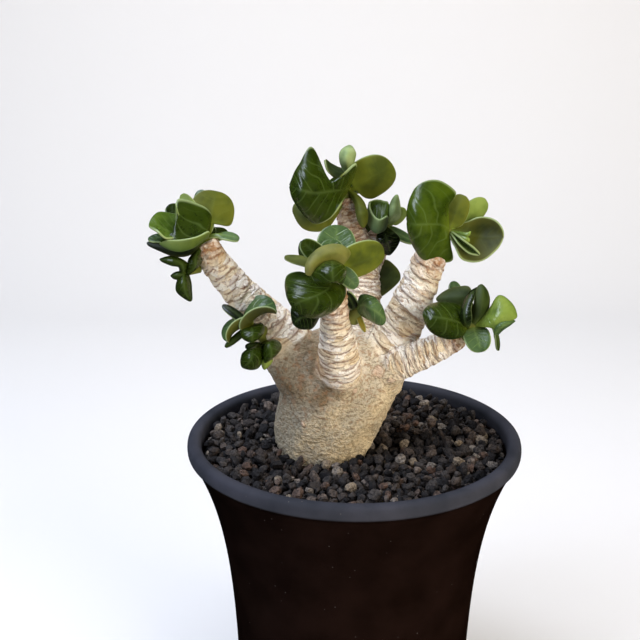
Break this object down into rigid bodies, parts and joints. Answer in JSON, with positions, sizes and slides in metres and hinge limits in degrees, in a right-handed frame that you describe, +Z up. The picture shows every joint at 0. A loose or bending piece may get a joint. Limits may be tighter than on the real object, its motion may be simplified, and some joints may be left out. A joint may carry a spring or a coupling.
{
  "type": "potted adenium",
  "caption": "Young potted adenium with a swollen caudex, ringed branches and heads of curly rounded leaves, standing in lava gravel in a flared black plastic pot.",
  "frame": {"origin": "middle of the pot's flat underside, on the surface that the pot stands on", "axes": "+Z up, +X to the viewer's right and -Y towards the viewer, as in the picture"},
  "size_m": [0.1131, 0.105, 0.1894],
  "materials": {
    "pot": "satin black moulded plastic, the rim a little bluer and finely grained",
    "gravel": "rough, matt lava grains, charcoal with a few brown and grey ones",
    "bark": "matt, dry, cream to grey-beige bark with leaf-scar rings",
    "leaf": "waxy: dark and glossy above, matt olive below, with a thin pale margin"
  },
  "bodies": {
    "root": {"pot": "pot", "gravel": "gravel", "caudex_and_branches": "bark", "leaves_left": "leaf", "leaves_left_low": "leaf", "leaves_back": "leaf", "leaves_back_right": "leaf", "leaves_front": "leaf", "leaves_front_side": "leaf", "leaf_back_low": "leaf", "leaves_right": "leaf", "leaves_right_low": "leaf"}
  },
  "joints": []
}
